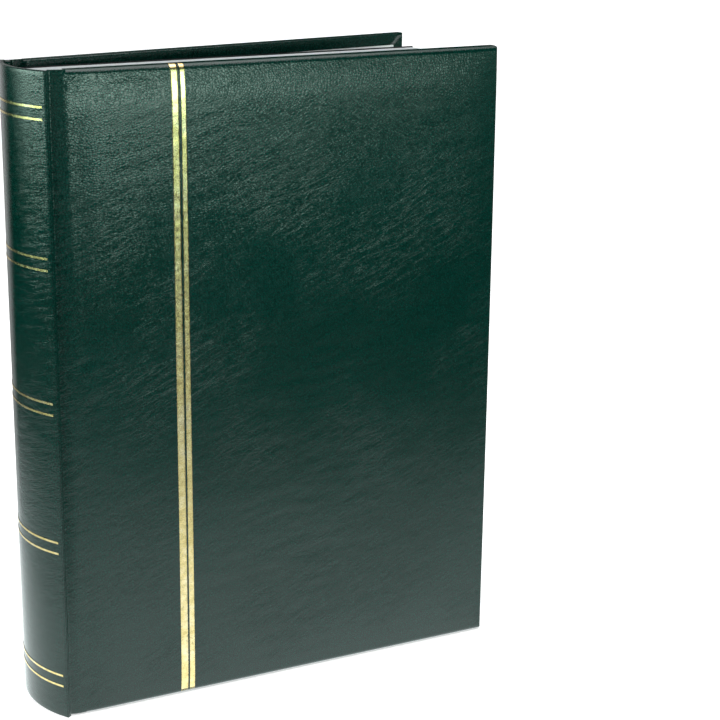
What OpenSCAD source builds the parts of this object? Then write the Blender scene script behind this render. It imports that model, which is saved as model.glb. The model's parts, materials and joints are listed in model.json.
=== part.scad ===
// Padded stamp album (stockbook) in A4 format, standing on its tail edge.
// A case of two padded covers and a rounded spine holds eight sewn gatherings of four leaves.
// +Z is up, the front cover faces -Y and the spine faces -X.
// The origin is the middle of the bounding box, on the surface the album stands on.

/* [Covers] */
// Height of the case
case_h = 305; // [300:1:320]
// Width of the front cover, from the joint to the fore edge
cover_w = 220; // [216:1:235]
// Width of the back cover, from the joint to the fore edge
back_cover_w = 217; // [214:1:235]
// Thickness of each padded cover
cover_t = 6; // [5.5:0.1:8]
// Thickness of the leatherette
leather_t = 0.6; // [0.4:0.1:0.8]
// Thickness of the grey board inside each cover
board_t = 2.4; // [2:0.1:2.8]
// Radius of the padded outer edges
edge_r = 2.8; // [1.5:0.1:3]
// Radius of the cover corners, seen from the front
corner_r = 1; // [1:0.1:4]
// Width of leatherette turned in over the board
turn_in = 16; // [12:1:22]
// How far the back cover stands open
back_splay = 8; // [0:0.1:10]

/* [Spine and joints] */
// Width of the joint between the spine and each cover
joint_w = 10; // [9:0.5:12]
// Depth of the joint leatherette below the cover's outer face
joint_depth = 3.6; // [3.2:0.1:4]
// How much narrower the spine is than the closed case
spine_short = 1.6; // [0:0.1:3]
// Bulge of the rounded spine
spine_bulge = 6.6; // [4:0.1:9]
// Lean of the spine, with the back cover set back towards -X
spine_lean = 4.2; // [0:0.1:5]
// Thickness of the spine's board
spine_board_t = 1.4; // [1:0.1:1.8]

/* [Gold tooling] */
// Distance from the spine's shoulder to the wide rule on the front
wide_rule_x = 58.4; // [30:0.1:90]
// Width of the wide rule
wide_rule_w = 3.6; // [2:0.1:6]
// Gap between the two rules
rule_gap = 0.9; // [0.4:0.1:2]
// Width of the narrow rule
narrow_rule_w = 2.6; // [1:0.1:4]
// Height of the lowest pair of spine lines
spine_pair_z = 15.9; // [10:0.1:25]
// Distance between one pair of spine lines and the next
spine_pair_pitch = 67; // [60:0.5:67]
// Distance between the two lines of a pair
spine_line_gap = 5.4; // [3:0.1:8]
// Height of one spine line
spine_line_h = 1; // [0.6:0.1:1.6]

/* [Leaves] */
// Width of a leaf
leaf_w = 204; // [200:1:208]
// Height of a leaf
leaf_h = 297; // [290:1:299]
// How far the rear flyleaf stands past the leaves at the head and the tail
flyleaf_over = 0.6; // [0:0.1:1]
// Thickness taken by one leaf with its strips and interleaf
leaf_pitch = 1.21; // [1.15:0.01:1.4]
// Thickness of the leaf's card
card_t = 0.6; // [0.4:0.05:0.6]
// Rows of clear strips on a page
strip_rows = 9; // [6:1:9]
// Height of a clear strip
strip_h = 22; // [15:0.5:25]
// Distance between one row and the next
strip_pitch = 27; // [26:0.5:28]
// Distance from the top of the page to the foot of the first strip
first_row = 72; // [40:1:74]

/* [Stamps] */
// Width of a landscape stamp
landscape_w = 50; // [36:1:52]
// Height of a landscape stamp
landscape_h = 34; // [24:1:36]
// Width of a portrait stamp
portrait_w = 17; // [15:1:20]
// Height of a portrait stamp
portrait_h = 23; // [18:1:25]

/* [Hidden] */
GATHERINGS = 8;
LEAVES_PER_GATHERING = 4;
$fn = 96;
SPINE_FACETS = 240;

// Colours
LEATHER = [0.13, 0.24, 0.21];
GREY_BOARD = [0.55, 0.53, 0.49];
FOAM = [0.93, 0.92, 0.86];
WHITE_PAPER = [0.93, 0.94, 0.94];
DARK_PAPER = [0.12, 0.13, 0.13];
LINEN = [0.88, 0.87, 0.82];
CLEAR = [0.82, 0.88, 0.92, 0.6];
GLASSINE = [0.9, 0.91, 0.88, 0.7];
GOLD = [0.85, 0.72, 0.35];
GREEN_STAMP = [0.35, 0.72, 0.2];
BLUE_STAMP = [0.55, 0.68, 0.85];

// Thin layers
PAPER_T = 0.25;
FLYLEAF_T = 0.3;
GOLD_T = 0.12;
STRIP_T = 0.08;
INTERLEAF_T = 0.08;
STAMP_T = 0.1;
LINEN_T = 0.7;
STRAP_T = 0.6;

// Left edges of the stamps, as shares of the leaf's width
LANDSCAPE_AT = [0.26, 0.61];
PORTRAIT_AT = [0.67, 0.835];

// Clearances
LAYER_GAP = 0.35;    // between a cover and the leaves
GATHERING_GAP = 0.2; // between gatherings
STAMP_GAP = 0.01;    // each side of a stamp in its pocket
STAMP_LIFT = 0.2;    // from a pocket's foot to the stamp in it
INTERLEAF_GAP = 0.02; // from the leaf before to the interleaf
FILM_GAP = 0.03;     // between an interleaf and the strips
AXIS_GAP = 1.6;      // from a joint's axis to each half of its leatherette
EPS = 1;             // how far a cutting shape runs past what it cuts

// Layers of the closed case, from the front face towards +Y
foam_t = cover_t - 2 * leather_t - board_t;
flyleaf_y = cover_t + PAPER_T + LAYER_GAP;
leaves_y = flyleaf_y + FLYLEAF_T + GATHERING_GAP;
gathering_pitch = LEAVES_PER_GATHERING * leaf_pitch;
leaves_end_y = leaves_y + GATHERINGS * gathering_pitch;
rear_flyleaf_y = leaves_end_y;
case_t = rear_flyleaf_y + FLYLEAF_T + LAYER_GAP + PAPER_T + cover_t;

// Leaves
leaf_z = (case_h - leaf_h) / 2;
linen_x = joint_w / 2 - LINEN_T;
leaf_x = linen_x + LINEN_T;
strip_margin = 6;
strip_hem = 1;

// Spine, drawn with its chord along +Y from the front shoulder and then leaned
spine_w = case_t - spine_short;
spine_r = (pow(spine_w / 2, 2) + pow(spine_bulge, 2)) / (2 * spine_bulge);
spine_half = asin(spine_w / 2 / spine_r);
spine_t = spine_board_t + 2 * leather_t;
spine_set_back = spine_w * sin(spine_lean);
spine_centre = [
    (spine_r - spine_bulge) * cos(spine_lean) - spine_w / 2 * sin(spine_lean),
    (spine_r - spine_bulge) * sin(spine_lean) + spine_w / 2 * cos(spine_lean)
];

// Joint axes, before the shift to the origin
front_axis = [joint_w / 2, joint_depth];
back_axis = [joint_w / 2 - spine_set_back, case_t - joint_depth];

// Bounding box, and the shift that puts its middle at the origin
back_corner_u = joint_w / 2 + back_cover_w - edge_r;
back_corner_v = joint_depth - edge_r;
x_low = spine_centre[0] - spine_r - GOLD_T;
x_high = joint_w + cover_w;
y_low = -GOLD_T;
y_high = back_axis[1] + back_corner_u * sin(back_splay) + back_corner_v * cos(back_splay) + edge_r;
shift = [-(x_low + x_high) / 2, -(y_low + y_high) / 2, 0];

// ---- shapes shared by several sub-parts ----

// A rectangle from the origin whose two corners at y = 0 are rounded
module soft_edge_rect(w, h, r) {
    translate([r, 0]) square([w - 2 * r, h]);
    translate([0, r]) square([w, h - r]);
    for (x = [r, w - r]) translate([x, r]) circle(r);
}

// A rectangle from the origin with four rounded corners
module round_rect(w, h, r) {
    translate([r, 0]) square([w - 2 * r, h]);
    translate([0, r]) square([w, h - 2 * r]);
    for (x = [r, w - r], y = [r, h - r]) translate([x, y]) circle(r);
}

// A padded slab: its face at y = 0 has soft edges all round
module padded_slab(w, t, h, r, corner) {
    intersection() {
        linear_extrude(h) soft_edge_rect(w, t, r);
        multmatrix([[0, 0, 1, 0], [0, 1, 0, 0], [1, 0, 0, 0]]) linear_extrude(w) soft_edge_rect(h, t, r);
        multmatrix([[1, 0, 0, 0], [0, 0, 1, 0], [0, 1, 0, 0]]) linear_extrude(t) round_rect(w, h, corner);
    }
}

// A band of the spine between two radii, in the leaned position
module spine_band(r_in, r_out, side_gap, z, h) {
    half = spine_half - side_gap / spine_r * 180 / PI;
    far = 2 * spine_r;
    translate([0, 0, z])
        rotate(spine_lean)
        translate([spine_r - spine_bulge, spine_w / 2])
        linear_extrude(h)
        intersection() {
            difference() {
                circle(r_out, $fn = SPINE_FACETS);
                circle(r_in, $fn = SPINE_FACETS);
            }
            polygon([
                [0, 0],
                [-far * cos(half), -far * sin(half)],
                [-far * 1.2, 0],
                [-far * cos(half), far * sin(half)]
            ]);
        }
}

// Places a cover drawn with its spine edge at x = 0 and its outer face at y = 0
module at_front() {
    translate(shift) translate([joint_w, 0, 0]) children();
}

module at_back() {
    translate(shift)
        translate([back_axis[0], back_axis[1], 0])
        rotate(back_splay)
        translate([joint_w / 2, joint_depth, 0])
        mirror([0, 1, 0])
        children();
}

// ---- covers ----

// Leatherette wrapped round the padding and the board, with turned-in edges inside
module cover_leatherette(w) {
    difference() {
        padded_slab(w, cover_t, case_h, edge_r, corner_r);
        cover_core(w);
        translate([leather_t, cover_t - 2 * leather_t, turn_in])
            cube([w - leather_t - turn_in, 3 * leather_t, case_h - 2 * turn_in]);
    }
}

// The space inside the leatherette, which the padding and the board fill
module cover_core(w) {
    translate([leather_t, leather_t, leather_t])
        padded_slab(w - 2 * leather_t, foam_t + board_t, case_h - 2 * leather_t,
            edge_r - leather_t, corner_r - leather_t);
}

module cover_padding(w) {
    intersection() {
        cover_core(w);
        cube([w, leather_t + foam_t, case_h]);
    }
}

module cover_board(w) {
    translate([leather_t, leather_t + foam_t, leather_t])
        multmatrix([[1, 0, 0, 0], [0, 0, 1, 0], [0, 1, 0, 0]])
        linear_extrude(board_t)
        round_rect(w - 2 * leather_t, case_h - 2 * leather_t, corner_r - leather_t);
}

// Pasted down over the turned-in edges, and onto the board between them
module cover_endpaper(w) {
    overlap = 10;
    margin = turn_in - overlap;
    translate([leather_t, cover_t - leather_t, turn_in])
        cube([w - leather_t - turn_in, leather_t + PAPER_T, case_h - 2 * turn_in]);
    translate([leather_t, cover_t, margin])
        cube([w - leather_t - margin, PAPER_T, case_h - 2 * margin]);
}

// A foil rule over the face and the head edge, ending at the tail
module gold_rule(x, w) {
    translate([x, 0, 0])
        intersection() {
            multmatrix([[0, 0, 1, 0], [0, 1, 0, 0], [1, 0, 0, 0]])
                linear_extrude(w)
                difference() {
                    translate([-GOLD_T, -GOLD_T])
                        soft_edge_rect(case_h + 2 * GOLD_T, cover_t + GOLD_T, edge_r + GOLD_T);
                    soft_edge_rect(case_h, cover_t + EPS, edge_r);
                }
            translate([-EPS, -EPS, 0]) cube([w + 2 * EPS, cover_t + 2 * EPS, case_h + 2 * EPS]);
        }
}

module front_leatherette() { color(LEATHER) at_front() cover_leatherette(cover_w); }
module front_padding() { color(FOAM) at_front() cover_padding(cover_w); }
module front_board() { color(GREY_BOARD) at_front() cover_board(cover_w); }
module front_endpaper() { color(WHITE_PAPER) at_front() cover_endpaper(cover_w); }
module front_gold_rules() {
    color(GOLD) at_front() {
        gold_rule(wide_rule_x - joint_w, wide_rule_w);
        gold_rule(wide_rule_x - joint_w + wide_rule_w + rule_gap, narrow_rule_w);
    }
}
module back_leatherette() { color(LEATHER) at_back() cover_leatherette(back_cover_w); }
module back_padding() { color(FOAM) at_back() cover_padding(back_cover_w); }
module back_board() { color(GREY_BOARD) at_back() cover_board(back_cover_w); }
module back_endpaper() { color(WHITE_PAPER) at_back() cover_endpaper(back_cover_w); }

// ---- spine ----

// Leatherette over the curved board, with turned-in edges at the head and the tail
module spine_leatherette() {
    color(LEATHER) translate(shift) difference() {
        spine_band(spine_r - spine_t, spine_r, 0, 0, case_h);
        spine_band(spine_r - leather_t - spine_board_t, spine_r - leather_t, leather_t,
            leather_t, case_h - 2 * leather_t);
        spine_band(spine_r - spine_t - EPS, spine_r - leather_t - spine_board_t / 2, leather_t,
            turn_in, case_h - 2 * turn_in);
    }
}

module spine_board() {
    color(GREY_BOARD) translate(shift)
        spine_band(spine_r - leather_t - spine_board_t, spine_r - leather_t, leather_t,
            leather_t, case_h - 2 * leather_t);
}

// Linen pasted on the inside of the spine board, between the turned-in edges
module spine_lining() {
    color(LINEN) translate(shift)
        spine_band(spine_r - spine_t, spine_r - leather_t - spine_board_t, leather_t,
            turn_in, case_h - 2 * turn_in);
}

// Five pairs of foil lines across the spine
module spine_gold_rules() {
    shoulder_gap = 2;
    color(GOLD) translate(shift)
        for (pair = [0:4], line = [0:1])
            spine_band(spine_r, spine_r + GOLD_T, shoulder_gap,
                spine_pair_z + pair * spine_pair_pitch + line * spine_line_gap - spine_line_h / 2,
                spine_line_h);
}

// ---- joints ----

// Leatherette of a joint, from the cover's spine edge to the joint's axis
module joint_cover_side() {
    translate([AXIS_GAP - joint_w / 2, joint_depth - STRAP_T / 2, leather_t])
        cube([joint_w / 2 - AXIS_GAP, STRAP_T, case_h - 2 * leather_t]);
}

// Leatherette of a joint, down the spine's end face and on to the joint's axis
module joint_spine_side(shoulder, inner, axis) {
    side = sign(inner[1] - shoulder[1]);
    down = (inner - shoulder) / norm(inner - shoulder);
    off = STRAP_T * side * [down[1], -down[0]];
    middle = (shoulder + inner) / 2;
    translate([0, 0, leather_t])
        linear_extrude(case_h - 2 * leather_t)
        polygon([
            [axis[0] - AXIS_GAP, axis[1] + side * STRAP_T / 2],
            [axis[0] - AXIS_GAP, axis[1] - side * STRAP_T / 2],
            inner + off,
            middle + off,
            middle,
            inner,
            [inner[0], axis[1] + side * STRAP_T / 2]
        ]);
}

// A point of the spine's end, at depth d below its outer face
function spine_end(d, end) =
    let (a = end * spine_half, r = spine_r - d)
    spine_centre + r * [-cos(a - spine_lean), sin(a - spine_lean)];

module front_joint_cover_side() { color(LEATHER) at_front() joint_cover_side(); }
module back_joint_cover_side() { color(LEATHER) at_back() joint_cover_side(); }
module front_joint_spine_side() {
    color(LEATHER) translate(shift) joint_spine_side(spine_end(0, -1), spine_end(spine_t, -1), front_axis);
}
module back_joint_spine_side() {
    color(LEATHER) translate(shift) joint_spine_side(spine_end(0, 1), spine_end(spine_t, 1), back_axis);
}

// ---- leaves ----

// Where each layer of one leaf lies, from the leaf's front
interleaf_y = INTERLEAF_GAP;
front_strip_y = interleaf_y + INTERLEAF_T + FILM_GAP;
card_y = front_strip_y + STRIP_T + STAMP_T + 2 * STAMP_GAP;
back_strip_y = card_y + card_t + STAMP_T + 2 * STAMP_GAP;

function gathering_y(k) = leaves_y + (k - 1) * gathering_pitch;

// Repeats its children once for each leaf of gathering k, at the leaf's front
module each_leaf(k) {
    translate(shift)
        for (i = [0:LEAVES_PER_GATHERING - 1])
            translate([leaf_x, gathering_y(k) + i * leaf_pitch, leaf_z])
            children();
}

// One clear strip: a sheet standing off the card, joined to it along its foot
module clear_strip(stand_off) {
    multmatrix([[0, 0, 1, 0], [1, 0, 0, 0], [0, 1, 0, 0]])
        linear_extrude(leaf_w - 2 * strip_margin)
        polygon([
            [0, 0],
            [STRIP_T + stand_off, 0],
            [STRIP_T + stand_off, strip_hem],
            [STRIP_T, strip_hem],
            [STRIP_T, strip_h],
            [0, strip_h]
        ]);
}

module page_strips() {
    stand_off = STAMP_T + 2 * STAMP_GAP;
    for (row = [0:strip_rows - 1])
        translate([strip_margin, 0, leaf_h - first_row - row * strip_pitch])
            clear_strip(stand_off);
}

module leaves(k) {
    color(WHITE_PAPER) each_leaf(k) translate([0, card_y, 0]) cube([leaf_w, card_t, leaf_h]);
}

module strips(k) {
    color(CLEAR) each_leaf(k) {
        translate([0, front_strip_y, 0]) page_strips();
        translate([0, back_strip_y + STRIP_T, 0]) mirror([0, 1, 0]) page_strips();
    }
}

module interleaves(k) {
    inset = 2;
    color(GLASSINE) each_leaf(k)
        translate([0, interleaf_y, inset])
        cube([leaf_w - inset, INTERLEAF_T, leaf_h - 2 * inset]);
}

// Linen across the fold of one gathering, which its leaves are sewn through
module linen(k) {
    color(LINEN) translate(shift)
        translate([linen_x, gathering_y(k), leaf_z])
        cube([LINEN_T, gathering_pitch - GATHERING_GAP / 2, leaf_h]);
}

module front_flyleaf() {
    color(WHITE_PAPER) translate(shift)
        translate([linen_x, flyleaf_y, leaf_z]) cube([leaf_w + LINEN_T, FLYLEAF_T, leaf_h]);
}

module rear_flyleaf() {
    color(DARK_PAPER) translate(shift)
        translate([linen_x, rear_flyleaf_y, leaf_z - flyleaf_over])
        cube([leaf_w + LINEN_T, FLYLEAF_T, leaf_h + 2 * flyleaf_over]);
}

// ---- stamps, in the pockets of the right-hand page of the middle opening ----

// One stamp in a row's pocket, its left edge at x
module stamp(x, row, w, h) {
    k = GATHERINGS / 2 + 1;
    lift = strip_hem + STAMP_LIFT;
    translate(shift)
        translate([
            leaf_x + x,
            gathering_y(k) + front_strip_y + STRIP_T + STAMP_GAP,
            leaf_z + leaf_h - first_row - row * strip_pitch + lift
        ])
        cube([w, STAMP_T, h]);
}

module landscape_stamps() {
    color(GREEN_STAMP) for (at = LANDSCAPE_AT) stamp(at * leaf_w, 0, landscape_w, landscape_h);
}

module portrait_stamps() {
    color(BLUE_STAMP) for (at = PORTRAIT_AT) stamp(at * leaf_w, 2, portrait_w, portrait_h);
}

// ---- nodes ----

front_leatherette();
front_padding();
front_board();
front_endpaper();
front_gold_rules();
back_leatherette();
back_padding();
back_board();
back_endpaper();
spine_leatherette();
spine_board();
spine_lining();
spine_gold_rules();
front_joint_cover_side();
front_joint_spine_side();
back_joint_cover_side();
back_joint_spine_side();
front_flyleaf();
rear_flyleaf();
landscape_stamps();
portrait_stamps();
for (k = [1:GATHERINGS]) {
    leaves(k);
    strips(k);
    interleaves(k);
    linen(k);
}
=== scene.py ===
import json
import math

import bpy
import numpy as np
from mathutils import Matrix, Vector, noise
from mathutils.bvhtree import BVHTree


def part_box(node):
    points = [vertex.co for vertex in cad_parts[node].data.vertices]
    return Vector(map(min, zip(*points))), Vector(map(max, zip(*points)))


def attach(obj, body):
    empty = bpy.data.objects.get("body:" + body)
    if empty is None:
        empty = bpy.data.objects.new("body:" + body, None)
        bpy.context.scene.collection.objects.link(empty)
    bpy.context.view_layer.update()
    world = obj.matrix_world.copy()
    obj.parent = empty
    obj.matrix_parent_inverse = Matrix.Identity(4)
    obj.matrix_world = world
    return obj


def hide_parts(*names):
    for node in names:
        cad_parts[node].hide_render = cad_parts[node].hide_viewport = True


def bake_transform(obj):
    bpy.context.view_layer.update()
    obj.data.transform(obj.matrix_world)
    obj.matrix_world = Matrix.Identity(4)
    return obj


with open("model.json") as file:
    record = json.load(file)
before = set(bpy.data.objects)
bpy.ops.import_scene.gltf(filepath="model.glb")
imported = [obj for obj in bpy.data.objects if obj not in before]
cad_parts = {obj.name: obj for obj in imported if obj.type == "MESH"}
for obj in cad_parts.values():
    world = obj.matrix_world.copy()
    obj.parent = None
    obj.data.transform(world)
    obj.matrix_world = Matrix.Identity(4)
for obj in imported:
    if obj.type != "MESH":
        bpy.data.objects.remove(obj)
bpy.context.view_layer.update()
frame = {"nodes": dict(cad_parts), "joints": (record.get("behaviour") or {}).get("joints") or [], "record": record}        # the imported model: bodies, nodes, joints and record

MM = 0.001

# ---------------------------------------------------------------- sizes, taken from the frame
JOINTS = {joint["name"]: joint for joint in frame["joints"]}
FRONT_AXIS = Vector(JOINTS["front_cover_open"]["pos_m"])
BACK_AXIS = Vector(JOINTS["back_cover_open"]["pos_m"])
BACK_SPLAY = math.radians(-JOINTS["back_cover_open"]["range_deg"][0])

FRONT_LOW, FRONT_HIGH = (Vector(corner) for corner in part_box("front_leatherette"))
COVER_W, COVER_T, CASE_H = FRONT_HIGH - FRONT_LOW
HALF_JOINT = FRONT_LOW.x - FRONT_AXIS.x
JOINT_W = 2 * HALF_JOINT
JOINT_DEPTH = FRONT_AXIS.y - FRONT_LOW.y
SHOULDER = Vector((FRONT_LOW.x - JOINT_W, FRONT_LOW.y, 0))
BACK_COVER_W = COVER_W - 3 * MM    # the back cover is cut a little narrower

CASE_T = BACK_AXIS.y - FRONT_AXIS.y + 2 * JOINT_DEPTH
SPINE_SET_BACK = FRONT_AXIS.x - BACK_AXIS.x
SPINE_W = CASE_T - 1.6 * MM        # the spine stops short of both outer faces
SPINE_BULGE = 6.6 * MM
SPINE_T = 2.6 * MM
SPINE_LEAN = math.asin(SPINE_SET_BACK / SPINE_W)
SPINE_R = ((SPINE_W / 2) ** 2 + SPINE_BULGE ** 2) / (2 * SPINE_BULGE)
SPINE_HALF = math.asin(SPINE_W / 2 / SPINE_R)

# On a cover u runs from the spine's shoulder to the fore edge, d is the depth below the outer
# face, and z is the height. Noise and grain scales are in features per metre.
EDGE_R = 2.6 * MM       # the padded edges at the head and the tail
FORE_R = 1.0 * MM       # the edge at the fore edge
INNER_R = 0.4 * MM      # the edges on the inside of the cover
CORNER_R = 0.8 * MM
STRAP_T = 0.9 * MM      # leatherette of a joint
STRAP_START = 0.9 * MM  # where it leaves the spine's end face
STRAP_LIFT = 0.75 * MM  # how far its tail edge stays above the cover's
CREASE_END = 16 * MM    # past this the joint has no effect on the cover
CROWN = 1.1 * MM        # how far the padding stands proud
HEAD_FALL = 0.8 * MM    # how far its face falls away towards the head, next to the joint
BOARD_BOW = 0.5 * MM    # how far a cover bows out at the middle of its fore edge
RULE_U = 58.4 * MM      # where the wide gold rule starts
WIDE_RULE = 3.6 * MM
RULE_GAP = 0.9 * MM
NARROW_RULE = 2.6 * MM


# ---------------------------------------------------------------- mesh helpers
def make_object(name, verts, faces, material, smooth=True):
    """A new mesh object in the row frame."""
    mesh = bpy.data.meshes.new(name)
    mesh.from_pydata([tuple(v) for v in verts], [], [tuple(f) for f in faces])
    mesh.validate()
    mesh.update()
    if smooth:
        mesh.polygons.foreach_set("use_smooth", [True] * len(mesh.polygons))
    obj = bpy.data.objects.new(name, mesh)
    bpy.context.scene.collection.objects.link(obj)
    if material is not None:
        mesh.materials.append(material)
    return obj


def box_lattice(xs, ys, zs):
    """The closed surface of a box as welded quads on the given stations: (verts, faces)."""
    ids, verts, faces = {}, [], []

    def vertex(i, j, k):
        if (i, j, k) not in ids:
            ids[(i, j, k)] = len(verts)
            verts.append((xs[i], ys[j], zs[k]))
        return ids[(i, j, k)]

    def wall(count_a, count_b, corner, outward):
        for a in range(count_a - 1):
            for b in range(count_b - 1):
                ring = [corner(a, b), corner(a + 1, b), corner(a + 1, b + 1), corner(a, b + 1)]
                quad = [vertex(*c) for c in ring]
                faces.append(quad if outward else quad[::-1])

    nx, ny, nz = len(xs), len(ys), len(zs)
    wall(nx, nz, lambda a, b: (a, 0, b), True)
    wall(nx, nz, lambda a, b: (a, ny - 1, b), False)
    wall(ny, nz, lambda a, b: (0, a, b), False)
    wall(ny, nz, lambda a, b: (nx - 1, a, b), True)
    wall(nx, ny, lambda a, b: (a, b, 0), False)
    wall(nx, ny, lambda a, b: (a, b, nz - 1), True)
    return np.array(verts), faces


def thin_solid(outer, inner):
    """Two grids of points, rows x columns x 3, closed into one solid: (verts, faces)."""
    rows, columns = outer.shape[:2]
    verts = np.concatenate([outer.reshape(-1, 3), inner.reshape(-1, 3)])
    far = rows * columns
    faces = []
    for r in range(rows - 1):
        for c in range(columns - 1):
            a = r * columns + c
            faces.append((a, a + 1, a + columns + 1, a + columns))
            faces.append((far + a, far + a + columns, far + a + columns + 1, far + a + 1))
    rim = list(range(columns))
    rim += [r * columns + columns - 1 for r in range(1, rows)]
    rim += [(rows - 1) * columns + c for c in range(columns - 2, -1, -1)]
    rim += [r * columns for r in range(rows - 2, 0, -1)]
    for a, b in zip(rim, rim[1:] + rim[:1]):
        faces.append((b, a, far + a, far + b))
    return verts, faces


def smoothstep(t):
    t = np.clip(t, 0, 1)
    return t * t * (3 - 2 * t)


# ---------------------------------------------------------------- materials
class Nodes:
    """A short way to write a node tree."""

    def __init__(self, owner, place="Object"):
        owner.use_nodes = True
        self.material = owner
        self.tree = owner.node_tree
        self.shader = self.tree.nodes.get("Principled BSDF")
        self.place = self.tree.nodes.new("ShaderNodeTexCoord").outputs[place]

    def set(self, **values):
        for name, value in values.items():
            self.shader.inputs[name.replace("_", " ")].default_value = value
        return self

    def node(self, kind, **settings):
        made = self.tree.nodes.new(kind)
        for name, value in settings.items():
            setattr(made, name, value)
        return made

    def join(self, source, target):
        self.tree.links.new(source, target)

    def scaled(self, stretch, rise=0):
        """Object coordinates packed closer along each axis by stretch, with X turned up by rise degrees."""
        mapping = self.node("ShaderNodeMapping", vector_type="TEXTURE")
        mapping.inputs["Scale"].default_value = [1 / s for s in stretch]
        mapping.inputs["Rotation"].default_value = (0, -math.radians(rise), 0)
        self.join(self.place, mapping.inputs["Vector"])
        return mapping.outputs["Vector"]

    def noise(self, scale, detail=3, roughness=0.55, stretch=(1, 1, 1), rise=0, distortion=0):
        made = self.node("ShaderNodeTexNoise")
        made.inputs["Scale"].default_value = scale
        made.inputs["Detail"].default_value = detail
        made.inputs["Roughness"].default_value = roughness
        made.inputs["Distortion"].default_value = distortion
        self.join(self.scaled(stretch, rise), made.inputs["Vector"])
        return made.outputs["Fac"]

    def cells(self, scale, feature="DISTANCE_TO_EDGE", stretch=(1, 1, 1)):
        made = self.node("ShaderNodeTexVoronoi", feature=feature)
        made.inputs["Scale"].default_value = scale
        self.join(self.scaled(stretch), made.inputs["Vector"])
        return made.outputs["Distance"]

    def wave(self, scale, axis, distortion=0.0):
        made = self.node("ShaderNodeTexWave", bands_direction=axis)
        made.inputs["Scale"].default_value = scale
        made.inputs["Distortion"].default_value = distortion
        self.join(self.place, made.inputs["Vector"])
        return made.outputs["Fac"]

    def math(self, operation, a, b=None, clamp=False):
        made = self.node("ShaderNodeMath", operation=operation, use_clamp=clamp)
        for socket, value in zip(made.inputs, (a, b)):
            if value is None:
                continue
            if isinstance(value, (int, float)):
                socket.default_value = value
            else:
                self.join(value, socket)
        return made.outputs[0]

    def vector(self, operation, a, b):
        made = self.node("ShaderNodeVectorMath", operation=operation)
        self.join(a, made.inputs[0])
        self.join(b, made.inputs[1])
        return made.outputs[0]

    def ramp(self, source, stops):
        made = self.node("ShaderNodeValToRGB")
        elements = made.color_ramp.elements
        while len(elements) < len(stops):
            elements.new(0.5)
        for element, (at, colour) in zip(elements, stops):
            element.position = at
            element.color = (*colour, 1)
        self.join(source, made.inputs["Fac"])
        return made.outputs["Color"]

    def span(self, source, low, high, to_low, to_high):
        made = self.node("ShaderNodeMapRange")
        for name, value in (("From Min", low), ("From Max", high), ("To Min", to_low), ("To Max", to_high)):
            made.inputs[name].default_value = value
        self.join(source, made.inputs["Value"])
        return made.outputs["Result"]

    def mix(self, factor, a, b):
        made = self.node("ShaderNodeMix", data_type="RGBA")
        self.join(factor, made.inputs["Factor"])
        for socket, value in ((made.inputs[6], a), (made.inputs[7], b)):
            if isinstance(value, tuple):
                socket.default_value = (*value, 1)
            else:
                self.join(value, socket)
        return made.outputs[2]

    def along(self, axis):
        """Where a point is along an axis of the object, in metres."""
        made = self.node("ShaderNodeSeparateXYZ")
        self.join(self.place, made.inputs["Vector"])
        return made.outputs[axis]

    def facing(self, axis):
        """How squarely the surface faces along an axis, 0 to 1, either way round."""
        made = self.node("ShaderNodeSeparateXYZ")
        self.join(self.node("ShaderNodeNewGeometry").outputs["True Normal"], made.inputs["Vector"])
        return self.math("ABSOLUTE", made.outputs[axis])

    def colour(self, source):
        self.join(source, self.shader.inputs["Base Color"])
        return self

    def roughness(self, source):
        self.join(source, self.shader.inputs["Roughness"])
        return self

    def bump(self, *layers):
        """layers: (source, depth in metres, strength), the finest last."""
        normal = None
        for source, depth, strength in layers:
            made = self.node("ShaderNodeBump")
            made.inputs["Distance"].default_value = depth
            made.inputs["Strength"].default_value = strength
            self.join(source, made.inputs["Height"])
            if normal is not None:
                self.join(normal, made.inputs["Normal"])
            normal = made.outputs["Normal"]
        self.join(normal, self.shader.inputs["Normal"])
        return self


def new_material(name, **values):
    """The nodes of a new material, with the given values on its shader."""
    return Nodes(bpy.data.materials.new(name)).set(**values)


def srgb(*levels):
    """An sRGB colour in 0..255, as the linear colour a shader takes."""
    return tuple(((v / 255 + 0.055) / 1.055) ** 2.4 if v > 10 else v / 255 / 12.92 for v in levels)


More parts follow.
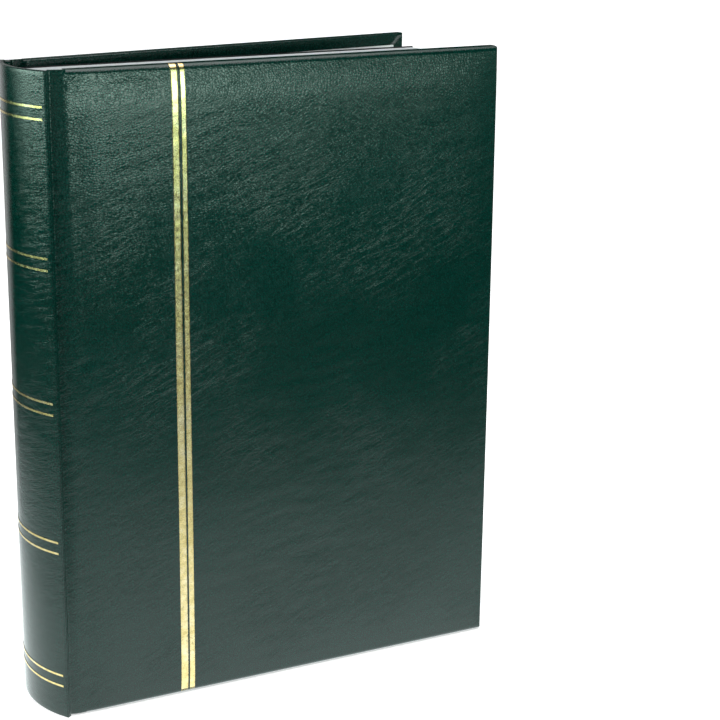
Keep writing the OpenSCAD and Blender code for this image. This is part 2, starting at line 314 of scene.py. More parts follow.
def leatherette():
    """Dark green coated paper: pebbled, with fine slanting wrinkles that come in patches."""
    n = new_material("green_leatherette", Roughness=0.3, Specular_IOR_Level=0.5)
    slant = 24

    # its relief, from the widest waves to the single pebbles
    broad = n.noise(16, detail=4, stretch=(1, 1, 1.5))
    wrinkles = n.noise(75, detail=4, roughness=0.6, stretch=(1, 1, 4.5), rise=slant, distortion=1.1)
    valleys = n.math("ABSOLUTE", n.math("SUBTRACT", wrinkles, 0.5))
    valleys = n.math("MULTIPLY", valleys, 14, clamp=True)
    patches = n.span(n.noise(20, detail=3, rise=slant), 0.38, 0.60, 0, 1)
    folds = n.math("MAXIMUM", valleys, n.math("SUBTRACT", 1, patches))
    creping = n.noise(230, detail=3, roughness=0.6, stretch=(1, 1, 2.6), rise=slant + 6, distortion=0.8)
    pebbles = n.span(n.cells(820, stretch=(1, 1, 1.15)), 0.0, 0.32, 0, 1)
    pores = n.noise(1500, detail=2, roughness=0.7)
    grain = n.math("MULTIPLY", pebbles, n.span(pores, 0.35, 0.6, 0.3, 1))

    # painted shade: darker in the folds and between the pebbles, where it is also less glossy
    tone = n.mix(broad, (0.0005, 0.029, 0.020), (0.0010, 0.042, 0.033))
    tone = n.mix(n.span(folds, 0, 0.6, 0.25, 0), tone, (0.0003, 0.010, 0.007))
    n.colour(n.mix(n.span(grain, 0.1, 0.8, 0.6, 0), tone, (0.0002, 0.012, 0.008)))
    n.roughness(n.span(grain, 0.1, 0.9, 0.12, 0.06))

    # handling has rubbed the pebbles flat on the lower half
    worn_below, worn_to = 0.45 * CASE_H, 0.1
    crisp = n.span(n.along("Z"), worn_below, CASE_H, worn_to, 1)
    n.bump((broad, 0.5 * MM, 0.1), (folds, 0.035 * MM, 0.4), (creping, 0.06 * MM, 0.5),
           (n.math("MULTIPLY", pebbles, crisp), 0.04 * MM, 0.9))
    return n.material


def gold_foil():
    """Pressed foil, cloudy and rubbed through in specks."""
    n = new_material("gold_foil", Metallic=1.0)
    wear = n.noise(520, detail=4, roughness=0.7)
    cloud = n.noise(150, detail=4, roughness=0.65)
    tone = n.ramp(cloud, [(0.3, srgb(220, 197, 132)), (0.5, srgb(240, 218, 158)),
                          (0.7, srgb(252, 234, 190))])
    worn = n.ramp(wear, [(0.56, (0, 0, 0)), (0.74, (0.7, 0.7, 0.7))])
    n.colour(n.mix(worn, tone, srgb(150, 136, 76)))
    n.roughness(n.span(wear, 0.3, 0.7, 0.17, 0.30))
    n.bump((n.cells(1050, stretch=(1, 1, 1.2)), 0.03 * MM, 0.5), (wear, 0.02 * MM, 0.4))
    return n.material


def card(name, light, dark, fibre=900, rough=0.75):
    """Paper or board: fibres on its faces, and painted shade on the cut edges at the head and the tail,
    which are greyer.
    """
    n = new_material(name, Specular_IOR_Level=0.3)
    fibres = n.noise(fibre, detail=4, roughness=0.7)
    cloud = n.noise(30, detail=2)
    face = n.mix(n.math("MULTIPLY", fibres, cloud), light, dark)
    # painted shade: the cut edges that face up and down are greyer, as the gaps between the leaves lie in
    # shade
    cut_shade_light, cut_shade_dark = (tuple(share * c for c in light) for share in (0.95, 0.7))
    cut_shade = n.mix(n.noise(1400, detail=2), cut_shade_light, cut_shade_dark)
    n.colour(n.mix(n.span(n.facing("Z"), 0.5, 0.8, 0, 1), face, cut_shade))
    n.roughness(n.span(cloud, 0.3, 0.7, rough - 0.06, rough + 0.06))
    n.bump((fibres, 0.03 * MM, 0.4))
    return n.material


def linen_cloth():
    """Plain weave, about 960 threads to the metre each way."""
    n = new_material("linen", Specular_IOR_Level=0.2, Sheen_Weight=0.2)
    along_x, along_y, along_z = (n.wave(302.4, axis, 0.6) for axis in "XYZ")
    weave = n.math("MULTIPLY", along_z, n.math("MAXIMUM", along_x, along_y))
    n.colour(n.mix(weave, srgb(205, 200, 186), srgb(238, 235, 226)))
    n.roughness(n.span(weave, 0, 1, 0.95, 0.8))
    n.bump((weave, 0.08 * MM, 0.6))
    return n.material


def film(name, tint, alpha, rough):
    """Clear or milky sheet that lies in slow ripples."""
    n = new_material(name, Alpha=alpha, Specular_IOR_Level=0.5)
    ripple = n.noise(60, detail=2, stretch=(1, 1, 2))
    n.colour(n.mix(ripple, tint, tuple(min(1, c * 1.08) for c in tint)))
    n.roughness(n.span(ripple, 0.3, 0.7, rough, rough + 0.12))
    n.bump((ripple, 0.15 * MM, 0.2))
    return n.material


def printed(n, picture):
    """Finishes a picture as ink on coated paper."""
    n.colour(picture)
    n.roughness(n.span(n.noise(700), 0.3, 0.7, 0.45, 0.6))
    n.bump((n.noise(1500), 0.01 * MM, 0.3))
    return n.material


def landscape_art():
    """A stamp's picture: a green sky over rolling hills and a pale meadow, with nothing written on it."""
    n = new_material("landscape_art", Specular_IOR_Level=0.3)
    hill_rise, hill_foot, meadow_foot = 9 * MM, 10.5 * MM, 4 * MM
    up = n.along("Z")
    ridge = n.math("MULTIPLY", n.noise(90, detail=3, stretch=(1, 1, 0.01)), hill_rise)
    far = n.math("GREATER_THAN", up, n.math("ADD", ridge, hill_foot))
    near = n.math("GREATER_THAN", up, n.math("ADD", n.math("MULTIPLY", ridge, 0.6), meadow_foot))
    trees = n.mix(n.cells(420, feature="F1"), srgb(84, 110, 70), srgb(150, 158, 120))
    meadow = n.mix(n.noise(260), srgb(206, 198, 176), srgb(150, 132, 104))
    sky = n.mix(n.span(up, 14 * MM, 26 * MM, 0, 1), srgb(128, 210, 84), srgb(86, 186, 52))
    return printed(n, n.mix(far, n.mix(near, meadow, trees), sky))


def flower_art(height):
    """A stamp's picture: a round blue flower on pale grey, with nothing written on it."""
    n = new_material("flower_art", Specular_IOR_Level=0.3)
    petals, heart_r, petal_swing, petal_r = 6, 0.06 * height, 0.09 * height, 2.2 * 0.09 * height
    across = n.math("SUBTRACT", n.along("X"), 0.37 * height)
    up = n.math("SUBTRACT", n.along("Z"), 0.55 * height)
    angle = n.math("ARCTAN2", up, across)
    reach = n.math("ADD", n.math("MULTIPLY", across, across), n.math("MULTIPLY", up, up))
    reach = n.math("SQRT", reach)
    swing = n.math("MULTIPLY", n.math("SINE", n.math("MULTIPLY", angle, petals)), petal_swing)
    outside = n.math("GREATER_THAN", reach, n.math("ADD", swing, petal_r))
    heart = n.math("GREATER_THAN", reach, heart_r)
    bloom = n.mix(n.noise(500), srgb(92, 124, 182), srgb(160, 184, 220))
    ground = n.mix(n.noise(200), srgb(226, 230, 236), srgb(192, 200, 214))
    return printed(n, n.mix(outside, n.mix(heart, srgb(214, 200, 120), bloom), ground))


def foam():
    """Soft open foam, seen as round pores."""
    n = new_material("foam_padding", Specular_IOR_Level=0.2)
    pores = n.cells(1600, feature="F1")
    n.colour(n.mix(pores, srgb(236, 233, 220), srgb(190, 186, 170)))
    n.roughness(n.span(pores, 0, 1, 0.95, 0.85))
    n.bump((pores, 0.1 * MM, 0.8))
    return n.material


LEATHER = leatherette()
GOLD = gold_foil()
MATERIALS = {
    "green_leatherette": LEATHER,
    "gold_foil": GOLD,
    "foam_padding": foam(),
    "grey_board": card("grey_board", srgb(168, 163, 152), srgb(96, 92, 84), fibre=520, rough=0.85),
    "white_paper": card("white_paper", srgb(244, 245, 245), srgb(222, 224, 224)),
    "white_card": card("white_card", srgb(240, 244, 246), srgb(206, 213, 217)),
    "dark_paper": card("dark_paper", srgb(40, 42, 43), srgb(20, 22, 23)),
    "linen": linen_cloth(),
    "clear_film": film("clear_film", (0.86, 0.92, 0.96), 0.3, 0.12),
    "glassine": film("glassine", (0.93, 0.94, 0.92), 0.55, 0.4),
    "green_stamp_paper": card("green_stamp_paper", srgb(110, 190, 70), srgb(90, 160, 60)),
    "blue_stamp_paper": card("blue_stamp_paper", srgb(150, 178, 214), srgb(120, 150, 190)),
}


def dress_cad_nodes():
    """Every CAD node gets the procedural material of its slot."""
    slots = {part["node"]: part["material_slot"] for part in frame["record"]["subparts"]}
    for name, obj in frame["nodes"].items():
        obj.data.materials.clear()
        obj.data.materials.append(MATERIALS[slots[name]])


# ---------------------------------------------------------------- covers
FRONT_SEED, BACK_SEED = 1.0, 60.0     # where each cover's unevenness starts in the noise
# Depths of the joints' leatherette (u, d), in millimetres
FRONT_JOINT_HEAD = ((0.9, 0.45), (1.5, 0.85), (2.1, 2.4), (3.0, 3.1), (4.2, 2.6), (5.6, 1.75),
                    (7.6, 0.85), (10.0, 0.32), (12.0, 0.16), (14.0, 0.06), (16.0, 0.0))
FRONT_JOINT_TAIL = ((0.9, 0.45), (1.5, 0.80), (2.1, 1.3), (3.0, 1.2), (4.2, 0.8), (5.6, 0.55),
                    (7.6, 0.45), (10.0, 0.4), (12.0, 0.25), (14.0, 0.1), (16.0, 0.0))
BACK_JOINT = ((0.8, 0.0), (1.6, 0.8), (2.4, 2.0), (3.4, 2.7), (5.0, 2.9), (7.0, 2.9), (8.6, 2.85),
              (9.4, 2.8), (9.9, 2.6), (10.3, 1.6), (10.7, 0.6), (11.2, 0.25), (12.0, 0.1), (14.0, 0.03),
              (16.0, 0.0))


def through(knots, u):
    """A smooth curve through the knots (u, depth), both in millimetres, read at u in metres."""
    at, depth = np.array(knots).T
    slope = np.gradient(depth, at)
    u = np.clip(u / MM, at[0], at[-1])
    i = np.clip(np.searchsorted(at, u) - 1, 0, len(at) - 2)
    span = at[i + 1] - at[i]
    t = (u - at[i]) / span
    return MM * (depth[i] * (1 + 2 * t) * (1 - t) ** 2 + depth[i + 1] * t * t * (3 - 2 * t)
                 + slope[i] * span * t * (1 - t) ** 2 - slope[i + 1] * span * t * t * (1 - t))


def front_joint_depth(u, z):
    """Depth of the front joint: a crevice at the spine and a soft hinge, both deeper towards the head."""
    upper = smoothstep((z / CASE_H - 0.04) / 0.5)
    return through(FRONT_JOINT_TAIL, u) * (1 - upper) + through(FRONT_JOINT_HEAD, u) * upper


def back_joint_depth(u, z):
    """Depth of the back joint: one groove, deep enough for the spine's edge to swing past, at any z."""
    return through(BACK_JOINT, u)


def relief(u, z, seed):
    """Unevenness, slanting creases and the puckers at the head of the joint, in metres."""
    rise = z - 0.22 * u     # creases slant up towards the fore edge
    broad = noise.noise(Vector((u * 22, z * 16, seed)))
    long_wave = noise.noise(Vector((u * 34, rise * 210, seed + 5)))
    fine_wave = noise.noise(Vector((u * 120, rise * 520, seed + 3)))
    patch = noise.noise(Vector((u * 12, z * 9, seed + 8)))
    creases = 0.07 * (1 - 2 * abs(long_wave)) + 0.035 * fine_wave
    creases *= (0.3 + 0.7 * z / CASE_H) * (0.4 + max(0.0, patch + 0.3))
    pucker_u, pucker_reach = 11 * MM, 9 * MM
    from_pucker = math.hypot(u - pucker_u, CASE_H - z) / pucker_reach
    pucker = noise.noise(Vector((u * 520, rise * 560, seed + 9))) * math.exp(-from_pucker ** 2)
    return (0.10 * broad + creases + 0.40 * pucker) * MM


def cover_crown():
    """How far the padded face stands proud over a cover, from a cloth simulation: (us, zs, heights).

    The dome is pressed down to CROWN, so it rises quickly near the edges and stays almost level inside.
    """
    cell, steepness = 8 * MM, 7 * MM / CROWN
    us = np.linspace(0, COVER_W, round(COVER_W / cell) + 1)
    zs = np.linspace(0, CASE_H, round(CASE_H / cell) + 1)
    gu, gz = np.meshgrid(us / COVER_W, zs / CASE_H, indexing="ij")
    dome = (1 - (2 * gu - 1) ** 2) * (1 - (2 * gz - 1) ** 2)
    dome = simulated_dome(us, zs)
    return us, zs, CROWN * (1 - np.exp(-dome / dome.max() * steepness))


def simulated_dome(us, zs):
    """A sheet held round its border and blown up by pressure, as the leatherette over its padding."""
    columns, last_step = len(zs), 20
    verts = [(u, 0, z) for u in us for z in zs]
    faces = []
    for i in range(len(us) - 1):
        for k in range(columns - 1):
            a = i * columns + k
            faces.append((a, a + columns, a + columns + 1, a + 1))
    sheet = make_object("padding_form", verts, faces, None)
    border = [i * columns + k for i in range(len(us)) for k in range(columns)
              if i in (0, len(us) - 1) or k in (0, columns - 1)]
    sheet.vertex_groups.new(name="held").add(border, 1.0, "REPLACE")
    cloth = sheet.modifiers.new("Cloth", "CLOTH")
    cloth.settings.quality = 8
    cloth.settings.mass = 0.3
    cloth.settings.tension_stiffness = 15
    cloth.settings.compression_stiffness = 15
    cloth.settings.bending_stiffness = 0.5
    cloth.settings.vertex_group_mass = "held"
    cloth.settings.use_pressure = True
    cloth.settings.uniform_pressure_force = 4
    cloth.settings.effector_weights.gravity = 0
    cloth.collision_settings.use_collision = False
    for step in range(1, last_step + 1):
        bpy.context.scene.frame_set(step)
    blown = sheet.evaluated_get(bpy.context.evaluated_depsgraph_get())
    height = np.array([-v.co.y for v in blown.data.vertices]).reshape(len(us), columns)
    bpy.context.scene.frame_set(1)
    bpy.data.objects.remove(sheet)
    if abs(height.min()) > height.max():
        height = -height
    return np.clip(height, 0, None) + 1e-6


def on_grid(grid, u, z):
    """The grid (us, zs, values) read at the points u, z."""
    us, zs, values = grid
    i = np.clip(np.searchsorted(us, u) - 1, 0, len(us) - 2)
    k = np.clip(np.searchsorted(zs, z) - 1, 0, len(zs) - 2)
    s = np.clip((u - us[i]) / (us[i + 1] - us[i]), 0, 1)
    t = np.clip((z - zs[k]) / (zs[k + 1] - zs[k]), 0, 1)
    low = values[i, k] * (1 - s) + values[i + 1, k] * s
    high = values[i, k + 1] * (1 - s) + values[i + 1, k + 1] * s
    return low * (1 - t) + high * t


def steps(*stretches):
    """Stations along a line from stretches (start, end, cell)."""
    parts = [np.linspace(a, b, max(1, round((b - a) / cell)), endpoint=False) for a, b, cell in stretches]
    return np.concatenate(parts + [[stretches[-1][1]]])


def roll(inset, depth, radius):
    """Pulls points beyond a rounded edge onto it: distance in from the edge, and depth below the face."""
    across, down = radius - inset, radius - depth
    outside = (across > 0) & (down > 0) & (np.hypot(across, down) > radius)
    shrink = np.where(outside, radius / np.where(outside, np.hypot(across, down), 1), 1)
    return radius - across * shrink, radius - down * shrink


def cover_shape(start, width, joint_depth, crown, seed):
    """A padded cover and its joint's leatherette, from start to the fore edge: points (u, d, z), faces."""
    end = JOINT_W + width
    band = 14 * MM      # the stretch with finer cells inside the head and the tail
    us = steps((start, CREASE_END, 0.4 * MM), (CREASE_END, end - 2 * FORE_R, 1.9 * MM),
               (end - 2 * FORE_R, end, 0.25 * MM))
    zs = steps((0, EDGE_R, 0.4 * MM), (EDGE_R, band, 0.9 * MM), (band, CASE_H - band, 1.9 * MM),
               (CASE_H - band, CASE_H - EDGE_R, 0.9 * MM), (CASE_H - EDGE_R, CASE_H, 0.4 * MM))
    ds = steps((0, EDGE_R, 0.45 * MM), (EDGE_R, COVER_T - INNER_R, 1.2 * MM),
               (COVER_T - INNER_R, COVER_T, 0.2 * MM))
    verts, faces = box_lattice(us, ds, zs)
    u, d, z = verts.T

    # corners at the fore edge, seen from the front: squares become quarter discs
    du = u - np.clip(u, None, end - CORNER_R)
    dz = z - np.clip(z, CORNER_R, CASE_H - CORNER_R)
    length = np.hypot(du, dz)
    shrink = np.where(length > 0, np.maximum(np.abs(du), np.abs(dz)) / np.where(length > 0, length, 1), 1)
    u, z = u - du * (1 - shrink), z - dz * (1 - shrink)

    # the face rolls over its edges, and the edges inside are softened
    inset, d = roll(end - u, d, FORE_R)
    u = end - inset
    for low in (True, False):
        inset, d = roll(z if low else CASE_H - z, d, EDGE_R)
        z = inset if low else CASE_H - inset
        inset, back = roll(z if low else CASE_H - z, COVER_T - d, INNER_R)
        z, d = (inset if low else CASE_H - inset), COVER_T - back
    inset, back = roll(end - u, COVER_T - d, INNER_R)
    u, d = end - inset, COVER_T - back

    # the padding's crown, its unevenness, and the joint
    on_face = np.clip(1 - d / COVER_T, 0, 1)
    top = face_depth(u, z, width, joint_depth, crown, seed)
    strap = u < JOINT_W - 0.01 * MM
    d = np.where(strap, top + d / COVER_T * STRAP_T, top * on_face + d)

    # the joint's leatherette hangs a little above the surface that the cover stands on
    z = np.where(strap, z + STRAP_LIFT * (1 - z / CASE_H), z)
    return np.stack([u, d, z], axis=1), faces


def face_depth(u, z, width, joint_depth, crown, seed):
    """How deep the leatherette's face lies below the cover's outer plane. Below zero it stands proud."""
    end = JOINT_W + width
    proud = on_grid(crown, (u - JOINT_W) / width * COVER_W, z) * smoothstep((u - JOINT_W) / (14 * MM))
    bow = BOARD_BOW * np.sin(math.pi * z / CASE_H) * (u / end) ** 2

    # the face falls away over the last stretch below the head, most next to the joint
    fall_h = 20 * MM
    head_fall = HEAD_FALL * (0.45 + 0.55 * np.exp(-((u - JOINT_W) / (60 * MM)) ** 2))
    head_fall *= smoothstep((z - CASE_H + fall_h) / fall_h) * smoothstep((u - 2 * MM) / (4 * MM))

    # its unevenness fades at the edges, and where the joint leaves the spine
    edge = np.minimum.reduce([end - u, z, CASE_H - z])
    uneven = np.array([relief(a, c, seed) for a, c in zip(u.ravel(), z.ravel())]).reshape(u.shape)
    uneven *= (0.3 + 0.7 * smoothstep(edge / (4 * MM))) * smoothstep((u - 1.2 * MM) / (3 * MM))
    return joint_depth(u, z) + head_fall - proud - bow - uneven


def front_place(points):
    """From u, d, z to the front cover."""
    return points + np.array(SHOULDER)


def back_place(points):
    """From u, d, z to the back cover, which stands open by BACK_SPLAY."""
    along, out = points[:, 0] - HALF_JOINT, JOINT_DEPTH - points[:, 1]
    c, s = math.cos(BACK_SPLAY), math.sin(BACK_SPLAY)
    x = BACK_AXIS.x + c * along - s * out
    y = BACK_AXIS.y + s * along + c * out
    return np.stack([x, y, points[:, 2]], axis=1)


def make_front_cover(crown):
    """The front leatherette, one sheet from the spine's shoulder over the joint to the fore edge."""
    points, faces = cover_shape(STRAP_START, COVER_W, front_joint_depth, crown, FRONT_SEED)
    skin = make_object("front_padded_leatherette", front_place(points), faces, LEATHER)
    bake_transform(skin)
    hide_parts("front_leatherette", "front_joint_cover_side", "front_joint_spine_side")
    return skin


def make_back_cover(crown):
    """The back leatherette, in two sheets that meet at the hinge axis."""
    points, faces = cover_shape(HALF_JOINT, BACK_COVER_W, back_joint_depth, crown, BACK_SEED)
    skin = make_object("back_padded_leatherette", back_place(points), [f[::-1] for f in faces], LEATHER)
    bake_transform(skin)
    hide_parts("back_leatherette", "back_joint_cover_side")

    us = np.linspace(0.8 * MM, HALF_JOINT, 11)
    zs = steps((0.1 * MM, CASE_H - 0.1 * MM, 2 * MM))
    gz, gu = np.meshgrid(zs, us, indexing="ij")
    depth = back_joint_depth(gu, gz)
    outer = np.stack([gu, depth, gz], axis=2)
    inner = np.stack([gu, depth + STRAP_T, gz], axis=2)
    verts, faces = thin_solid(outer, inner)
    half = make_object("back_joint_leatherette", back_place(verts), [f[::-1] for f in faces], LEATHER)
    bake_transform(half)
    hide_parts("back_joint_spine_side")


def make_padding(side, place, mirrored, width, joint_depth, crown, seed):
    """The foam sheet between a cover's board and its leatherette."""
    board_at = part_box("front_padding")[1][1] - FRONT_LOW.y
    under, thinnest, cell = 0.7 * MM, 0.3 * MM, 6 * MM
    us = steps((CREASE_END, JOINT_W + width - 2.5 * MM, cell))
    zs = steps((3 * MM, CASE_H - 3 * MM, cell))
    gz, gu = np.meshgrid(zs, us, indexing="ij")
    top = face_depth(gu, gz, width, joint_depth, crown, seed) + under
    outer = np.stack([gu, np.minimum(top, board_at - thinnest), gz], axis=2)
    inner = np.stack([gu, np.full_like(gu, board_at), gz], axis=2)
    verts, faces = thin_solid(outer, inner)
    if mirrored:
        faces = [f[::-1] for f in faces]
    foam_sheet = make_object(f"{side}_foam_sheet", place(verts), faces, MATERIALS["foam_padding"])
    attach(foam_sheet, f"{side}_cover")
    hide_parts(f"{side}_padding")


def turn_in_flaps(side, place, mirrored, width):
    """The leatherette turned in over the board: three flaps whose ends meet in mitres."""
    lift, sunk, reach_in, gap, rim = 0.2 * MM, 0.25 * MM, 6.6 * MM, 0.1 * MM, 0.5 * MM
    start_u, end_u = JOINT_W, JOINT_W + width
    verts, faces = [], []

    def flap(corner, along, across, length, mitre_start):
        """One flap from its corner (u, z), along an edge and inwards across it."""
        outer, inner = [], []
        for s in np.linspace(0, 1, round(length / (3 * MM))):
            row_out, row_in = [], []
            for t in np.linspace(0, 1, 9):
                reach = rim + t * (reach_in - rim)
                first = reach + gap if mitre_start else 0
                a = first + s * (length - (reach + gap) - first)
                u, z = (corner[i] + along[i] * a + across[i] * reach for i in (0, 1))
                ripple = 0.05 * MM * noise.noise(Vector((u * 90, t * 3, z * 90)))
                soft = lift * min(1, 4 * t + 0.3, 4 * (1 - t) + 0.5)
                row_out.append((u, COVER_T + soft + ripple, z))
                row_in.append((u, COVER_T - sunk, z))
            outer.append(row_out)
            inner.append(row_in)
        v, f = thin_solid(np.array(outer), np.array(inner))
        base = sum(len(part) for part in verts)
        verts.append(v)
        turned = along[0] * across[1] - along[1] * across[0] > 0
        if turned == mirrored:
            f = [quad[::-1] for quad in f]
        faces.extend([tuple(base + i for i in quad) for quad in f])

    flap((start_u, 0), (1, 0), (0, 1), width, False)
    flap((start_u, CASE_H), (1, 0), (0, -1), width, False)
    flap((end_u, 0), (0, 1), (-1, 0), CASE_H, True)
    made = make_object(f"{side}_turn_ins", place(np.concatenate(verts)), faces, LEATHER)
    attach(made, f"{side}_cover")


def gold_rules(skin):
    """Two foil rules pressed on the front cover, over the head edge and down to the tail."""
    tree = BVHTree.FromObject(skin, bpy.context.evaluated_depsgraph_get())
    proud, sunk, far, bare = 0.06 * MM, 0.08 * MM, 30 * MM, 1.4 * MM
    roll_y, roll_z = SHOULDER.y + EDGE_R, CASE_H - EDGE_R

    # rays that meet the skin: up its face, round the roll at the head, and back over the head edge
    up_face = steps((bare, roll_z, 1.2 * MM))
    rays = [(Vector((0, SHOULDER.y - far, z)), Vector((0, 1, 0))) for z in up_face]
    for turn in np.linspace(0, math.pi / 2, 9)[1:]:
        way = Vector((0, math.cos(turn), -math.sin(turn)))
        rays.append((Vector((0, roll_y, roll_z)) - way * far, way))
    rays += [(Vector((0, y, CASE_H + far)), Vector((0, 0, -1)))
             for y in np.linspace(roll_y, SHOULDER.y + COVER_T - 1.2 * MM, 4)[1:]]
    verts, faces, base = [], [], 0
    wide = SHOULDER.x + RULE_U
    for left, width in ((wide, WIDE_RULE), (wide + WIDE_RULE + RULE_GAP, NARROW_RULE)):
        outer, inner = [], []
        for origin, way in rays:
            across = [origin + Vector((x, 0, 0)) for x in np.linspace(left, left + width, 7)]
            hits = [tree.ray_cast(start, way)[0] for start in across]
            outer.append([hit - way * proud for hit in hits])
            inner.append([hit + way * sunk for hit in hits])
        v, f = thin_solid(np.array(outer), np.array(inner))
        verts.append(v)
        faces += [tuple(base + i for i in quad) for quad in f]
        base += len(v)
    made = make_object("front_gold_foil", np.concatenate(verts), faces, GOLD)
    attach(made, "front_cover")
    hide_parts("front_gold_rules")


# ---------------------------------------------------------------- spine
def spine_point(turn, radius, z):
    """A point at an angle from the spine's middle, negative towards the front cover."""
    c, s = math.cos(SPINE_LEAN), math.sin(SPINE_LEAN)
    x = SPINE_R - SPINE_BULGE - radius * np.cos(turn)
    y = SPINE_W / 2 + radius * np.sin(turn)
    return np.stack([SHOULDER.x + c * x - s * y, SHOULDER.y + s * x + c * y, z], axis=-1)


def make_spine():
    """Leatherette over the curved spine board, with soft head and tail edges."""
    arc = 2 * SPINE_HALF * SPINE_R
    end_r, shoulder_r, inner_r = 0.4 * MM, 0.5 * MM, 0.3 * MM
    thick = SPINE_T - 0.15 * MM
    edge = 1.2 * MM     # the stretch with finer cells next to a shoulder
    arcs = steps((0, edge, 0.2 * MM), (edge, arc - edge, 1.4 * MM), (arc - edge, arc, 0.2 * MM))
    zs = steps((0, end_r, 0.25 * MM), (end_r, CASE_H - end_r, 1.8 * MM),
               (CASE_H - end_r, CASE_H, 0.25 * MM))
    ds = steps((0, end_r, 0.25 * MM), (end_r, thick - inner_r, 0.9 * MM),
               (thick - inner_r, thick, 0.15 * MM))
    verts, faces = box_lattice(arcs, ds, zs)
    a, d, z = verts.T
    for low in (True, False):
        inset, d = roll(a if low else arc - a, d, shoulder_r)
        a = inset if low else arc - inset
        inset, d = roll(z if low else CASE_H - z, d, end_r)
        z = inset if low else CASE_H - inset
        inset, back = roll(z if low else CASE_H - z, thick - d, inner_r)
        z, d = (inset if low else CASE_H - inset), thick - back

    # shallow dents in the outer face, clear of the puckers that relief() has near a joint
    clear_of_puckers, seed = 40 * MM, 20.0
    uneven = np.array([relief(p + clear_of_puckers, q, seed) for p, q in zip(a, z)])
    d = d + np.clip(1 - d / thick, 0, 1) * np.clip(0.06 * MM - 0.7 * uneven, 0, 0.2 * MM)
    points = spine_point(a / SPINE_R - SPINE_HALF, SPINE_R - d, z)
    skin = make_object("spine_rounded_leatherette", points, [f[::-1] for f in faces], LEATHER)
    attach(skin, "spine")
    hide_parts("spine_leatherette")


# ---------------------------------------------------------------- stamps
def perforated_outline(width, height):
    """The outline of a stamp: straight edges with a row of round bites along each."""
    bite, pitch = 0.45 * MM, 1.6 * MM
    outline = []
    corners = [Vector((0, 0)), Vector((width, 0)), Vector((width, height)), Vector((0, height))]
    for start, end in zip(corners, corners[1:] + corners[:1]):
        way = (end - start).normalized()
        inward = Vector((-way.y, way.x))
        count = round((end - start).length / pitch)
        gap = (end - start).length / count
        outline.append(start)
        for n in range(count):
            middle = start + way * gap * (n + 0.5)
            for turn in np.linspace(math.pi, 0, 7):
                outline.append(middle + way * bite * math.cos(turn) + inward * bite * math.sin(turn))
    return outline


def make_stamp(name, low, width, height, thick, picture):
    """One stamp: perforated paper, and a printed panel inside its margin. low is its lower corner."""
    outline = perforated_outline(width, height)
    count = len(outline)
    verts = [(p.x, 0, p.y) for p in outline] + [(p.x, thick, p.y) for p in outline]
    faces = [tuple(range(count)), tuple(range(2 * count - 1, count - 1, -1))]
    faces += [(i, i + count, (i + 1) % count + count, (i + 1) % count) for i in range(count)]
    paper = make_object(f"{name}_paper", verts, faces, MATERIALS["white_paper"], smooth=False)
    paper.location = low
    margin, proud = 0.05 * height + 0.6 * MM, 0.005 * MM
    columns = np.linspace(margin, width - margin, 9)
    rows = np.linspace(margin, height - margin, 9)
    gz, gx = np.meshgrid(rows, columns, indexing="ij")
    front = np.stack([gx, np.full_like(gx, -proud), gz], axis=2)
    back = np.stack([gx, np.full_like(gx, 0.5 * thick), gz], axis=2)
    panel_verts, panel_faces = thin_solid(front, back)
    panel = make_object(f"{name}_print", panel_verts, panel_faces, picture, smooth=False)
    panel.location = low
    for piece in (paper, panel):
        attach(piece, "gathering_5")
    return paper


def make_stamp_pair(node, name, width_to_height, picture):
    """Two stamps at the ends of the CAD node that holds them."""
    low, high = (Vector(corner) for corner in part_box(node))
    height = high.z - low.z
    width = height * width_to_height
    for n, x in enumerate((low.x, high.x - width), 1):
        corner = Vector((x, low.y, low.z))
        make_stamp(f"{name}_{n}", corner, width, height, high.y - low.y, picture)
    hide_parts(node)


def make_stamps():
    """Two landscape and two portrait stamps in the strips of a page."""
    low, high = (Vector(corner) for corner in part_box("portrait_stamps"))
    make_stamp_pair("landscape_stamps", "landscape_stamp", 50 / 34, landscape_art())
    make_stamp_pair("portrait_stamps", "portrait_stamp", 17 / 23, flower_art(high.z - low.z))


# ---------------------------------------------------------------- floor, light and camera
def make_floor():
    """A white paper floor with a faint glow of its own, which keeps the shadows on it soft."""
    reach = 6.0
    n = new_material("floor_paper", Roughness=0.9, Specular_IOR_Level=0.3,
                     Emission_Color=(1, 1, 1, 1), Emission_Strength=0.55)
    n.colour(n.mix(n.noise(3, detail=2), (0.94, 0.94, 0.94), (0.9259, 0.9259, 0.9259)))
    corners = [(-reach, -reach, 0), (reach, -reach, 0), (reach, reach, 0), (-reach, reach, 0)]
    floor = make_object("floor", corners, [(0, 1, 2, 3)], n.material, smooth=False)
    floor.visible_glossy = False


def make_softbox():
    """A wide soft light overhead, aimed at the middle of the album."""
    place, target = Vector((-0.1, -0.35, 1.6)), Vector((0, 0, 0.15))
    data = bpy.data.lights.new("top_softbox", "AREA")
    data.shape = "RECTANGLE"
    data.size, data.size_y = 1.8, 1.4
    data.energy = 11
    softbox = bpy.data.objects.new("top_softbox", data)
    softbox.location = place
    softbox.rotation_euler = (target - place).to_track_quat("-Z", "Y").to_euler()
    bpy.context.scene.collection.objects.link(softbox)


ROOM_STRENGTH = 9.0
# The studio by elevation in degrees, as shares of that strength: the lit table, the panel overhead ...
TABLE = ((-90, 0.19), (-26, 0.19), (-24, 0.17), (-22, 0.14), (-19.5, 0.06), (-17.5, 0.017), (-15.5, 0.0))
OVERHEAD = ((46, 0.0), (58, 0.18), (90, 0.24))
# ... and a low strip light
STRIP = ((-11, 0.0), (-10, 0.0), (-9, 0.01), (-7.5, 0.05), (-5.5, 0.27), (-4, 0.6), (-2, 0.95), (0, 1.1),
         (4, 1.1), (6, 0.55), (9, 0.10), (16, 0.03), (30, 0.02), (40, 0.0))
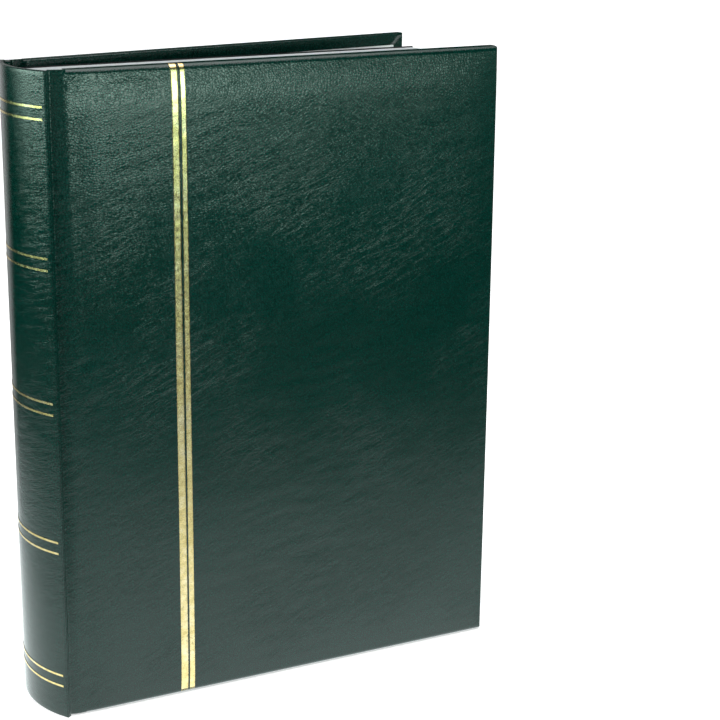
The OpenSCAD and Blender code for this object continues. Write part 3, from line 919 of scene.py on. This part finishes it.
# How bright the strip is by direction, from -1 on the left to 1 on the right
STRIP_IN_FRONT = ((0.02, 0.06), (0.2, 0.9), (0.36, 0.9), (0.45, 0.16), (0.55, 0.05))
STRIP_BEHIND = ((-0.86, 1.0), (-0.76, 0.5), (-0.64, 0.12), (-0.5, 0.0))
TABLE_TINT = (0.92, 1.0, 1.0)
STRIP_TINT = (0.70, 1.0, 0.86)


def make_lights():
    """One softbox, and a studio room with a dark middle. The camera sees plain white instead of it."""
    make_softbox()
    world = bpy.data.worlds.new("studio")
    bpy.context.scene.world = world
    n = Nodes(world, place="Generated")
    height = n.span(n.math("ARCSINE", n.along("Z")), -math.pi / 2, math.pi / 2, 0, 1)
    side = n.span(n.along("X"), -1, 1, 0, 1)

    def by_height(stops, tint):
        """A colour by elevation, from (degrees, level) pairs."""
        return n.ramp(height, [((angle + 90) / 180, [level * c for c in tint]) for angle, level in stops])

    def by_side(stops):
        """A grey by direction to the side, from (x, level) pairs."""
        return n.ramp(side, [((x + 1) / 2, (level,) * 3) for x, level in stops])

    is_behind = n.math("GREATER_THAN", n.along("Y"), 0)
    across = n.mix(is_behind, by_side(STRIP_IN_FRONT), by_side(STRIP_BEHIND))
    strip = n.vector("MULTIPLY", by_height(STRIP, STRIP_TINT), across)
    back_wall = n.span(n.along("Y"), 0.92, 1.0, 0, 0.08)
    steady = n.vector("ADD", by_height(TABLE, TABLE_TINT), by_height(OVERHEAD, (1, 1, 1)))
    room = n.tree.nodes["Background"]
    room.inputs["Strength"].default_value = ROOM_STRENGTH
    n.join(n.vector("ADD", n.vector("ADD", steady, strip), back_wall), room.inputs["Color"])
    white = n.node("ShaderNodeBackground")
    white.inputs["Color"].default_value = (1, 1, 1, 1)
    mixed = n.node("ShaderNodeMixShader")
    n.join(n.node("ShaderNodeLightPath").outputs["Is Camera Ray"], mixed.inputs["Fac"])
    n.join(room.outputs[0], mixed.inputs[1])
    n.join(white.outputs[0], mixed.inputs[2])
    n.join(mixed.outputs[0], n.tree.nodes["World Output"].inputs["Surface"])


def make_camera():
    """The photograph's view: from the front left, a little above the album."""
    data = bpy.data.cameras.new("camera")
    data.lens = 91.08
    data.sensor_width = 36
    data.shift_x = 0.097
    data.shift_y = 0.014
    obj = bpy.data.objects.new("camera", data)
    obj.location = SHOULDER + Vector((-0.25617, -0.74928, 0.39787))
    obj.rotation_euler = (math.radians(90 - 16.07), 0, math.radians(-26.52))
    bpy.context.scene.collection.objects.link(obj)
    bpy.context.scene.camera = obj
    bpy.context.scene.view_settings.view_transform = "Standard"


# ---------------------------------------------------------------- the album
dress_cad_nodes()
crown_grid = cover_crown()
front_skin = make_front_cover(crown_grid)
make_back_cover(crown_grid)
make_padding("front", front_place, False, COVER_W, front_joint_depth, crown_grid, FRONT_SEED)
make_padding("back", back_place, True, BACK_COVER_W, back_joint_depth, crown_grid, BACK_SEED)
turn_in_flaps("front", front_place, False, COVER_W)
turn_in_flaps("back", back_place, True, BACK_COVER_W)
gold_rules(front_skin)
make_spine()
make_stamps()
make_floor()
make_lights()
make_camera()
